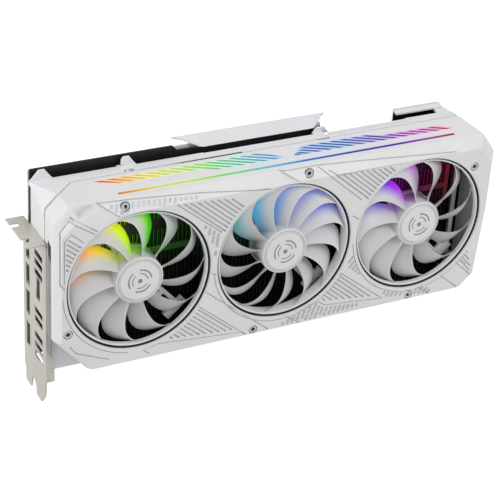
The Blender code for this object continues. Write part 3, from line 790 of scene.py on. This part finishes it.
def slat_cutters(skin):
    """Parallel grooves that leave the slats standing."""
    grooves = bmesh.new()
    for polygon in SLAT_BLOCKS:
        for a, b in hatch_lines(polygon, SLAT_ANGLE, 2.75, rims()):
            add_ribbon(grooves, skin, [a, b], 1.25, 1, 1.6, 60)
    for a, b in hatch_lines(TAIL_BLOCK, math.radians(-48), 2.4, rims()):
        add_ribbon(grooves, skin, [a, b], 1.1, 1, 1.4, 60)
    return grooves


def scoop_cutters(skin):
    """Two shallow recesses in the upper bevel that get deeper towards their right edge."""
    made = []
    for left, right, deep in ((((-86, 131.5), (-66.2, 120.6)), ((-65.7, 138.6), (-52.2, 128.2)), 1.9),
                              (((34, 138.6), (51.5, 128)), ((58.6, 138.6), (72.5, 128.4)), 1.9)):
        bm = bmesh.new()
        rings = []
        for k in range(11):
            t = k / 10
            a, b = Vector(left[0]).lerp(Vector(left[1]), t), Vector(right[0]).lerp(Vector(right[1]), t)
            ya, yb = skin_y(skin, a.x, min(a.y, 137.8)), skin_y(skin, b.x, min(b.y, 137.8))
            fade = min(1, (1.05 - t) * 2.2)
            rings.append([(a.x, ya - 1.5, a.y), (b.x, yb - 1.5, b.y), (b.x, yb + deep * fade, b.y),
                          (a.x, ya + 0.15, a.y)])
        add_loop_solid(bm, rings)
        made.append(bm)
    return made


def panel_cutters(skin):
    """Thin seams between the front's panels, one cutter each because some of them meet."""
    made = []
    radius = 51.4
    for points in PANEL_LINES:
        bm = bmesh.new()
        add_ribbon(bm, skin, points, 0.75, 0.8, 1.25)
        made.append(bm)
    for name, start, end in (("left", 182, 262), ("center", 186, 330), ("right", 185, 318)):
        bm = bmesh.new()
        arc = [math.radians(start + (end - start) * k / 24) for k in range(25)]
        x, z = FAN_CENTRE[name]
        points = [(x + radius * math.cos(a), z + radius * math.sin(a)) for a in arc]
        add_ribbon(bm, skin, points, 0.7, 0.8, 1.2)
        made.append(bm)
    return made


BAR_PITCH = 8.25
BAR_WIDTH = 4.9
TAIL_EDGE = ((90, -17), (79.2, -28.4), (77.2, -31.8))


def tail_edge_x(y):
    """Left boundary of the second light window."""
    for (xa, ya), (xb, yb) in zip(TAIL_EDGE, TAIL_EDGE[1:]):
        if y >= yb:
            return xa + (xb - xa) * (y - ya) / (yb - ya)
    return TAIL_EDGE[-1][0]


def light_bars():
    """Outlines of the slanted openings over the light, in (x, y)."""
    bars = [(BAR_PITCH * k - 57, LEFT_BACK, LEFT_FRONT[k >= 7], False) for k in range(15)]
    for k in range(-2, 13):
        back = RIGHT_BACK[k >= 7]
        bars.append((BAR_PITCH * k + 82.5 + (RIGHT_BACK[0] - back) * BAR_SLOPE, back, RIGHT_FRONT, True))
    outlines = []
    for x, back, front, at_tail in bars:
        left, right = [], []
        for k in range(9):
            y = back + (front - back) * k / 8
            start = x + (back - y) * BAR_SLOPE
            end = start + BAR_WIDTH
            if at_tail:
                start = max(start, tail_edge_x(y) + 1)
            if end - start > 0.8:
                left.append((start, y))
                right.append((end, y))
        if len(left) > 1:
            outlines.append(left + right[::-1])
    return outlines


SLAT_SKIN = 0.55
LENS_SUNK = 0.12


def top_slats():
    """White skin between the slanted light openings, a little larger than the shroud's windows."""
    high = node_box("light_bar_lens")[1]
    windows = ([(-60.6, -18.9), (58.3, -18.9), (73.4, -33.1), (-30.4, -33.1)],
               [(83.4, -19.9), (178.4, -19.9), (201.4, -33.1), (76.2, -33.1)])
    bm = bmesh.new()
    for window in windows:
        add_prism(bm, window, "Z", TOP_Z - SLAT_SKIN, TOP_Z + 0.03)
    obj = mesh_object("top_slats", bm, "white_plastic")
    tools = bmesh.new()
    for outline in light_bars():
        add_prism(tools, outline, "Z", high.z - 5, TOP_Z + 2)
    add_prism(tools, [(71, -29.6), (75.8, -29.6), (76.4, -31.2), (71.6, -31.2)], "Z", high.z - 5, TOP_Z + 2)
    place(smooth(cut(obj, [tools])), "white_plastic")


def light_lenses():
    """Diffusers that fill the openings almost flush, in place of the plain CAD lenses."""
    low, high = node_box("light_bar_lens")
    bm = bmesh.new()
    outline = [(low.x + 1, high.y - 0.3), (high.x - 20, high.y - 0.3), (high.x - 1, low.y + 0.3),
               (low.x + 30, low.y + 0.3)]
    add_prism(bm, round_corners(outline, 1), "Z", low.z, high.z - 0.45)
    for bar in light_bars():
        half = len(bar) // 2
        inset = [(x + 0.05, y) for x, y in bar[:half]] + [(x - 0.05, y) for x, y in bar[half:]]
        add_prism(bm, inset, "Z", high.z - 0.6, TOP_Z - LENS_SUNK)
    piece("light_bar_glow", bm, "lens_bars", "lens", replaces=["light_bar_lens"])
    low, high = node_box("light_strip_lens")
    bm = bmesh.new()
    front, back = low.y - 1.6, high.y + 1.6
    section = [(front, high.z - 0.6), (back, high.z - 0.6), (back, high.z + 0.02),
               (back - 0.15, high.z + 0.12), (front + 0.15, high.z + 0.12), (front, high.z + 0.02)]
    add_prism(bm, section, "X", low.x - 0.3, high.x + 0.3)
    add_box(bm, (low.x, high.x), (low.y, high.y), (low.z, high.z - 0.5))
    piece("light_strip_glow", bm, "lens_strip", "lens", replaces=["light_strip_lens"])


def shroud():
    bm = node_copy("shroud")
    skin = BVHTree.FromBMesh(bm)
    refined("shroud", "white_plastic", 0.15, scoop_cutters(skin) + [slat_cutters(skin)] + panel_cutters(skin))
    relief = bmesh.new()
    random.seed(7)
    for polygon, angle in HATCH_ZONES:
        for a, b in hatch_lines(polygon, math.radians(angle), 3.3, rims(51.6), 2.4):
            cuts = sorted(random.uniform(0.15, 0.85) for _ in range(int((b - a).length / 7)))
            marks = [0] + cuts + [1]
            for start, end in zip(marks, marks[1:]):
                if (b - a).length * (end - start) > 2.2:
                    shift = 0.35 / (b - a).length
                    add_ribbon(relief, skin, [a.lerp(b, start + shift), a.lerp(b, end - shift)], 1.9,
                               0.10, 0.3)
    bm.free()
    piece("shroud_hatch", relief, "pale_ink", "white_plastic")


# Rows of (y, upper z, lower z) for painted shade: dark sheets along the gap between the bracket's flange and
# the shroud's left side.
SIDE_SHADE_SHEETS = (
    ("upper", "black_plastic", ((-33.6, 121.4, 120), (-36.6, 116.2, 114.4), (-38.2, 114, 104),
                                (-43.2, 111.6, 100))),
    ("lower", "grey_ink_and_shade", ((-38, 103.9, 31.5), (-43.2, 99.9, 31.5))),
)


def side_shade_sheets():
    """Thin dark sheets on the shroud's left side, as painted shade in the gap."""
    tree = BVHTree.FromBMesh(node_copy("shroud"))
    for name, key, points in SIDE_SHADE_SHEETS:
        rings = []
        for y, top, bottom in points:
            x = tree.ray_cast(Vector((-150, y, 90)), Vector((1, 0, 0)))[0].x
            rings.append([(x - 0.05, y, bottom), (x - 0.05, y, top), (x + 0.4, y, top), (x + 0.4, y, bottom)])
        bm = bmesh.new()
        add_loop_solid(bm, rings)
        piece("side_shade_sheet_" + name, bm, key, "black_plastic")


def fan_rims():
    """Rounded lip around each fan opening, and a black ring inside it as painted shade in the gap."""
    lip = [(48.7, -46), (48.7, -51.3), (48.95, -51.8), (49.35, -52.02), (49.8, -51.95), (50.1, -51.6),
           (50.1, -50.2), (49.5, -46)]
    shade = [(48.2, -44), (48.2, -50.4), (48.65, -50.7), (48.65, -44)]
    for name, centre in FAN_CENTRE.items():
        # The gap ring is painted shade: a black sheet in the clearance, which is dark with shade.
        for part, profile, key in (("rim", lip, "white_plastic"), ("gap", shade, "black_plastic")):
            bm = bmesh.new()
            add_turned(bm, centre, profile, 144, True)
            piece("fan_%s_%s" % (name, part), bm, key, "white_plastic")


# ---- fans


def blade_rings(centre, hand, turn, stations=17, samples=11):
    """Sections of one blade, from inside the hub to inside the outer ring."""
    x, z = centre
    inner, outer = 15.7, 46.9
    rings = []
    for k in range(stations):
        t = (k / (stations - 1)) ** 0.8
        r = inner + (outer - inner) * t
        sweep = 0.47 * (0.55 * t ** 1.3 + 0.45 * t ** 7)
        span = 0.40 - 0.03 * t
        thick = 0.5 - 0.12 * t + 0.5 * math.exp(-14 * t)
        back_y, front_y = -39.5 - 1.2 * t, -50 + 0.8 * t
        upper, lower = [], []
        for i in range(samples):
            u = 0.5 - 0.5 * math.cos(math.pi * i / (samples - 1))
            edge = math.sqrt(max(0, 1 - abs(2 * u - 1) ** 6))
            a = hand * (sweep + span * (u - 0.5) + 0.05 * math.sin(math.pi * u)) + turn
            y = back_y + (front_y - back_y) * u
            for side, line in ((-1, lower), (1, upper)):
                depth = y + side * thick * max(edge, 0.12)
                line.append((x + r * math.cos(a), depth, z + r * math.sin(a)))
        rings.append(lower + upper[::-1])
    return rings


def fan_rotor(name):
    """Hub cup, blades and outer ring."""
    bm = bmesh.new()
    centre = FAN_CENTRE[name]
    count, hand, first, back = BLADES[name]
    front = node_box("fan_%s_badge" % name)[0].y
    cup = -37 - front
    add_turned(bm, centre, from_face(
        front, (0, 0.75), (13.75, 0.75), (13.75, 0.35), (14.35, 0.35), (14.55, 0.75), (14.75, 0.75),
        (14.95, 0.4), (15.4, 0.45), (16, 0.9), (16.35, 1.8), (16.4, cup), (15.1, cup), (15.1, 2.4), (0, 2.4)))
    ring = [(46.35, back), (46.25, -49.6), (46.5, -50.1), (46.95, -50.25), (47.4, -50.1), (47.6, -49.6),
            (47.5, back)]
    add_turned(bm, centre, ring, 144, True)
    for i in range(count):
        add_loop_solid(bm, blade_rings(centre, hand, math.radians(first) - 2 * math.pi * i / count))
    piece("fan_%s_rotor_fine" % name, bm, "fan_white", None, "fan_" + name, 50, ["fan_%s_rotor" % name])


def fan_badge(name):
    """Hub cap with a generic badge of three short arcs around a dot, and grey rings as painted shade in the
    grooves around the cap.
    """
    centre = FAN_CENTRE[name]
    x, z = centre
    low, high = node_box("fan_%s_badge" % name)
    face = low.y
    bm = bmesh.new()
    edge = from_face(face, (0, 0), (12.9, 0), (13.3, 0.12), (13.5, 0.5))
    add_turned(bm, centre, edge + [(13.5, high.y), (0, high.y)])
    piece("fan_%s_cap" % name, bm, "fan_white", None, "fan_" + name, 40, ["fan_%s_badge" % name])
    print_and_groove_shade = bmesh.new()
    for i in range(3):
        start = math.radians(120 * i + 8)
        arc = [start + math.radians(84) * k / 12 for k in range(13)]
        for radius, width in ((7.8, 0.9), (5.2, 0.65)):
            section = oblong(radius - width / 2, radius + width / 2, face - 0.06, face + 0.2)
            add_loop_solid(print_and_groove_shade, [[(x + r * math.cos(a), y, z + r * math.sin(a)) for r, y in section]
                                  for a in arc])
    add_turned(print_and_groove_shade, centre, from_face(face, (0, -0.06), (1.5, -0.06), (1.7, 0.2), (0, 0.2)), 32)
    # Painted shade: grey rings in the bottoms of the grooves around the cap.
    for inner, outer in ((13.52, 13.74), (14.38, 14.72)):
        add_turned(print_and_groove_shade, centre, oblong(inner, outer, face + 0.62, face + 0.9), closed=True)
    piece("fan_%s_mark" % name, print_and_groove_shade, "grey_ink_and_shade", "fan_white", "fan_" + name)


def fans():
    for name in BLADES:
        fan_rotor(name)
        fan_badge(name)
        refined("fan_%s_base" % name, "white_plastic", 0.3)
        dress("magnet", "fan_%s_magnet" % name)
        dress("port_steel", "fan_%s_shaft" % name)
        dress("copper", "fan_%s_bearing" % name, "fan_%s_stator" % name)


# ---- cooler


FIN_FOOT = 18.6


def add_fins(bm, x, y, z, pitch=1.42, thickness=0.32):
    """Thin upright plates; every second one is set back a little."""
    for i in range(int((x[1] - x[0]) / pitch)):
        start = x[0] + 0.4 + pitch * i
        notch = 0.5 if i % 2 else 0
        add_box(bm, (start, start + thickness), (y[0] + notch, y[1]), z)


def fin_block(node):
    """Thin plates on a base sheet that reach down to the shroud, in place of the coarse comb."""
    low, high = node_box(node)
    bm = bmesh.new()
    add_fins(bm, (low.x, high.x), (low.y, high.y), (FIN_FOOT, high.z))
    for z in (low.z + 3, (low.z + high.z) / 2 - 0.6, high.z - 4):
        add_box(bm, (low.x, high.x), (low.y + 6, high.y), (z, z + 0.5))
    add_box(bm, (low.x, high.x), (high.y - 1, high.y), (FIN_FOOT, high.z))
    add_box(bm, (low.x, high.x), (low.y - 1.6, high.y), (FIN_FOOT - 0.2, FIN_FOOT + 0.8))
    piece(node + "_fine", bm, "fin_black", replaces=[node])


def fin_ends():
    """Shorter plates behind the bracket's vents, and plates on both sides of the white end bar."""
    low = node_box("fin_stack_left")[0]
    bm = bmesh.new()
    start, front, top = -88, -30.6, 58
    add_fins(bm, (start, low.x - 0.4), (front, -14), (FIN_FOOT, top))
    add_box(bm, (start, low.x), (front, -9.6), (FIN_FOOT - 0.2, FIN_FOOT + 0.8))
    add_box(bm, (start, low.x), (-15, -14), (FIN_FOOT, top))
    bar_low, bar_high = node_box("fin_end_bar")
    right = node_box("fin_stack_right")[1].x
    end = bar_high.x + 5
    lower = (bar_low.z + 8, bar_high.z - 4)
    add_fins(bm, (right + 0.3, bar_low.x - 0.2), (-31.2, -14), (bar_low.z, bar_high.z))
    add_fins(bm, (bar_high.x + 0.2, end), (-29, -14), lower)
    add_box(bm, (right, end), (-13.9, -12.9), lower)
    piece("fin_ends", bm, "fin_black")


def fin_bands():
    """Flat folded bands that tie the plates together behind the fans."""
    bm = bmesh.new()
    low = node_box("fin_stack_left")[0]
    add_box(bm, (-24, 9.5), (low.y - 0.25, low.y + 1.5), (86.4, 90.6))
    low = node_box("fin_stack_right")[0]
    add_box(bm, (176, 200), (low.y - 0.25, low.y + 1.5), (93, 97))
    add_box(bm, (197.4, 200.6), (low.y - 0.3, low.y + 1.5), (84, 127))
    bmesh.ops.bevel(bm, geom=bm.edges[:], offset=0.2, segments=1, affect="EDGES")
    piece("fin_bands", bm, "fin_black")


def cooler():
    fin_block("fin_stack_left")
    fin_block("fin_stack_right")
    fin_ends()
    fin_bands()
    refined("fin_end_bar", "white_metal", 0.3)
    dress("copper", "cold_plate", *("heat_pipe_%d" % (i + 1) for i in range(6)))
    dress("package", "gpu_package")
    dress("board", "led_board")


# ---- frame, board and bracket


def mid_frame():
    """White metal frame: narrower top strip between the tabs, and a steeper left side on the second tab."""
    trims = []
    for x, y in (((-77.9, -35.2), -6.1), ((-22.2, 105), -6.9), ((24, 105.1), -7.7)):
        trims.append(bmesh.new())
        add_box(trims[-1], x, (y, -4), (134, 139))
    tab = bmesh.new()
    add_prism(tab, [(-36, TOP_Z - 0.2), (-32.4, TOP_Z - 0.2), (-31.9, 141.6), (-30.6, 143.2), (-30, 145),
                    (-36, 145)], "Y", -6.5, -3.5)
    refined("mid_frame", "white_metal", 0.2, trims=trims + [tab])
    vent_shade_patches()


def vent_shade_patches():
    """Black patches, flush with the top, as painted shade for fine openings along the joint between frame and
    shroud, and for a slot further right.
    """
    bm = bmesh.new()
    sunk = (TOP_Z - 0.8, TOP_Z + 0.03)
    for k in range(48):
        x = -24 + 1.5 * k
        full = min(1, max(0, (x + 12) / 40))
        width, reach = 0.6 + 0.9 * full, 0.35 + 0.45 * full
        y = -14.75 - 0.35 * full
        add_box(bm, (x, x + width), (y - reach / 2, y + reach / 2), sunk)
    add_prism(bm, [(102.7, -16.4), (111.9, -17), (111.9, -16.3), (102.7, -15.7)], "Z", *sunk)
    piece("vent_shade_patches", bm, "black_plastic")


def gold_contacts():
    """Contact strips on both faces of the edge connector."""
    bm = bmesh.new()
    low, high = node_box("pcb")
    for start, end in ((-35.3, 35.3), (-48.9, -38.3)):
        count = int(end - start)
        for k in range(count):
            x = start + (end - start) * (k + 0.5) / count
            for y in ((low.y - 0.04, low.y + 0.2), (high.y - 0.2, high.y + 0.04)):
                add_box(bm, (x - 0.34, x + 0.34), y, (0.5, 7.6))
    piece("edge_contacts", bm, "gold", "board")


def board_parts():
    """Chip capacitors and small chips on the back of the board, seen through the back plate's window."""
    random.seed(11)
    face = node_box("pcb")[1].y
    bodies, ends, chips = bmesh.new(), bmesh.new(), bmesh.new()
    for row in range(17):
        for col in range(15):
            x, z = 30 + 4.4 * col, 46 + 4.4 * row
            ring = max(abs(x - 61), abs(z - 80))
            if ring < 9 or 23 < ring < 26 or random.random() < 0.3:
                continue
            w, h = random.choice(((1.6, 0.8), (2, 1.25), (0.8, 1.6)))
            add_box(bodies, (x - w / 2 + 0.25, x + w / 2 - 0.25), (face - 0.1, face + 0.6),
                    (z - h / 2, z + h / 2))
            for side in (-1, 1):
                add_box(ends, sorted((x + side * w / 2, x + side * (w / 2 - 0.3))), (face - 0.1, face + 0.66),
                        (z - h / 2 - 0.04, z + h / 2 + 0.04))
    for x, z in ((-60, 60), (-60, 84), (-34, 36), (150, 60), (150, 84), (128, 40)):
        add_box(chips, (x - 5, x + 5), (face - 0.1, face + 1.1), (z - 4, z + 4))
    piece("capacitor_bodies", bodies, "ceramic", "board")
    piece("capacitor_ends", ends, "solder", "board")
    piece("board_chips", chips, "chip_resin", "board")


def board():
    dress("board", "pcb")
    gold_contacts()
    board_parts()


PORTS = ("port_dp_1", "port_dp_2", "port_hdmi_1", "port_dp_3", "port_hdmi_2")


def port_inserts():
    """Black insulators with contact rows inside the port shells."""
    plastic, contacts = bmesh.new(), bmesh.new()
    for node in PORTS:
        low, high = node_box(node)
        x, y, z = low.x, (low.y + high.y) / 2, (low.z + high.z) / 2
        add_box(plastic, (x + 2, high.x - 3.2), (low.y + 0.7, high.y - 0.7), (low.z + 0.7, high.z - 0.7))
        add_box(plastic, (x + 0.9, x + 6), (y - 0.85, y + 0.35), (low.z + 2, high.z - 2))
        count = int((high.z - low.z) - 5.2)
        for k in range(-count // 2, count // 2 + 1):
            add_box(contacts, (x + 1.3, x + 5.2), (y + 0.3, y + 0.45), (z + k - 0.25, z + k + 0.25))
    piece("port_insulators", plastic, "grey_ink_and_shade", "black_plastic")
    piece("port_contacts", contacts, "gold", "steel")


def bracket():
    """Sheet-steel bracket with small pressed dots beside the ports."""
    tools = bmesh.new()
    plate_x = node_box("port_dp_1")[0].x
    for y, z in ((-12, 93), (-12, 70), (-12, 50), (-11.4, 25), (-25.6, 53)):
        for shift in (-1.6, 0, 1.6):
            add_prism(tools, circle(y, z + shift, 0.5, 12), "X", plate_x - 1.5, plate_x - 0.1)
    refined("bracket", "bracket_steel", 0, [tools], "steel")
    dress("port_steel", *PORTS)
    port_inserts()


def back_screw(bm, x, z, y, r):
    """Low screw head with a round recess, facing +Y."""
    add_turned(bm, (x, z), from_face(y, (0, -0.6), (r, -0.6), (r, 0.15), (r - 0.35, 0.4), (0.9, 0.45),
                                     (0.7, -0.1), (0, -0.1)), 28)


def backplate():
    """White plate with engraved slanted lines, vents and screws."""
    low, high = node_box("backplate")
    tools = bmesh.new()
    for k in range(11):
        x = -78 + 6.2 * k
        add_prism(tools, [(x, 20), (x + 1, 20), (x + 31, 62), (x + 30, 62)], "Y", high.y - 0.4, high.y + 1)
    for k in range(4):
        z = 126 + 2.6 * k
        add_box(tools, (-60 + 6 * k, 16 - 6 * k), (high.y - 0.4, high.y + 1), (z, z + 0.8))
    vents = bmesh.new()
    for k in range(9):
        x = 104 + 4.6 * k
        add_prism(vents, [(x, 84), (x + 2, 84), (x + 12, 98), (x + 10, 98)], "Y", low.y - 1, high.y + 1)
    refined("backplate", "white_metal", 0.22, [tools, vents])
    screws = bmesh.new()
    for x, z in ((-84, 22), (-84, 128), (-20, 22), (20, 128), (60, 22), (112, 128), (112, 22), (140, 30),
                 (212, 30), (212, 128)):
        back_screw(screws, x, z, high.y, 2.3)
    piece("backplate_screws", screws, "dark_steel")
    springs = bmesh.new()
    low, high = node_box("retention_bracket")
    for x in (low.x + 4.5, high.x - 4.5):
        for z in (low.z + 4.5, high.z - 4.5):
            back_screw(springs, x, z, high.y + 0.5, 2.8)
    piece("clamp_screws", springs, "port_steel", "dark_steel")
    refined("retention_bracket", "dark_steel", 0.2)
    refined("logo_bar", "white_metal", 0.3)


def sockets():
    """Pins in the power sockets, and the switch."""
    pins = bmesh.new()
    for i in range(3):
        node = "power_connector_%d" % (i + 1)
        middle = node_centre(node)
        for col in range(4):
            for row in range(2):
                x, y = middle.x - 6.6 + 4.4 * col, middle.y - 2.2 + 4.4 * row
                add_box(pins, (x - 0.55, x + 0.55), (y - 0.55, y + 0.55), (121, 129.5))
        refined(node, "black_plastic", 0.2)
    piece("power_pins", pins, "gold", "steel")
    dress("black_plastic", "bios_switch_housing")
    refined("bios_switch_slider", "white_plastic", 0.15, body="bios_slider")


def front_screws():
    """Six recessed screw heads with round drive holes."""
    for i in range(6):
        node = "shroud_screw_%d" % (i + 1)
        centre = node_centre(node).xz
        face = node_box(node)[0].y
        bm = bmesh.new()
        add_turned(bm, centre, from_face(face, (0, 5), (1.5, 5), (1.5, 0.9), (2.85, 0.8), (2.9, 0.35),
                                         (2.6, 0), (1.55, 0), (1.4, 0.15), (1.35, 1.2), (0, 1.2)), 40)
        piece(node + "_fine", bm, "screw_zinc", "dark_steel", replaces=[node])
        # Painted shade: a black fill in the drive hole and a black ring around the head, where the
        # counterbore is dark with shade.
        socket = bmesh.new()
        add_turned(socket, centre, from_face(face, (0, 1.3), (1.42, 1.3), (1.42, 0.5), (0, 0.5)), 24)
        add_turned(socket, centre, oblong(2.92, 3.25, face + 0.25, face + 0.9), 40, True)
        piece(node + "_socket", socket, "black_plastic", "dark_steel")


make_camera()
make_studio()
shroud()
side_shade_sheets()
fan_rims()
top_slats()
light_lenses()
fans()
cooler()
mid_frame()
board()
bracket()
backplate()
sockets()
front_screws()
